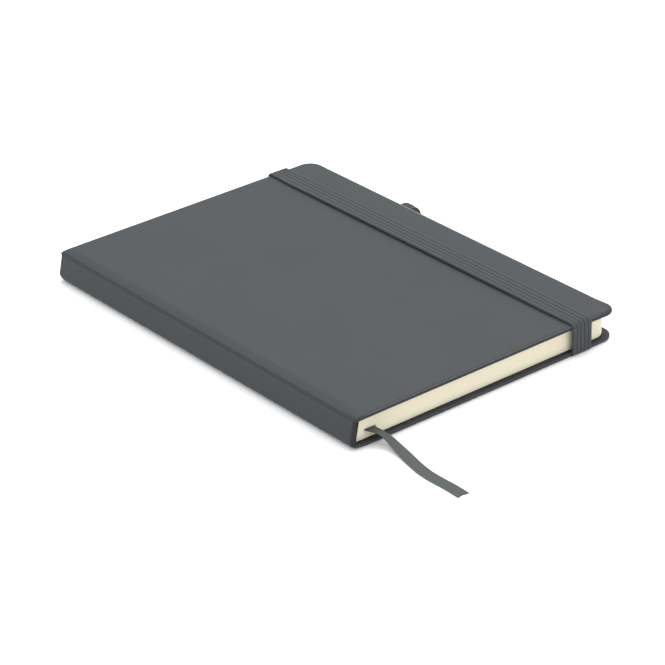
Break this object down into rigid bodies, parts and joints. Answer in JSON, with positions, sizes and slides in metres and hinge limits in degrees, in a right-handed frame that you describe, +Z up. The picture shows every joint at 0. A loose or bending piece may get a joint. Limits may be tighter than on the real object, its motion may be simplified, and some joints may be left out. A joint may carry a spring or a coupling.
{
  "type": "hard-cover notebook with elastic closure",
  "caption": "Closed hard-cover notebook: grey leatherette covers hinged on a leaning spine, cream pages, ribbed elastic strap, pen loop at the fore-edge and a ribbon bookmark.",
  "frame": {"origin": "middle of the back cover's underside, which lies on the table", "axes": "+X from the spine to the fore-edge, +Y from the tail to the head, +Z up through the pages to the front cover"},
  "size_m": [0.1598, 0.268, 0.0159],
  "materials": {
    "leatherette": "matt, fine grain",
    "board": "raw",
    "pages": "uncoated, cream",
    "lining_cloth": "open weave",
    "elastic": "woven, ribbed lengthwise",
    "ribbon_satin": "satin weave"
  },
  "bodies": {
    "block": {"page_block": "pages", "spine_lining": "lining_cloth", "spine_board": "board", "spine_skin": "leatherette", "ribbon": "ribbon_satin"},
    "front": {"front_skin": "leatherette", "front_board": "board", "front_endpaper": "pages"},
    "back": {"back_skin": "leatherette", "back_board": "board", "back_endpaper": "pages", "strap": "elastic", "pen_loop": "elastic"}
  },
  "joints": [
    {"name": "front_cover_hinge", "type": "hinge", "parent": "block", "child": "front", "pos_m": [-0.07395, 0, 0.0126], "axis": [0, -1, 0], "range_deg": [0, 180], "deforming": ["strap"]},
    {"name": "back_cover_hinge", "type": "hinge", "parent": "block", "child": "back", "pos_m": [-0.0758, 0, 0.0021], "axis": [0, 1, 0], "range_deg": [0, 180], "deforming": ["strap"]}
  ]
}
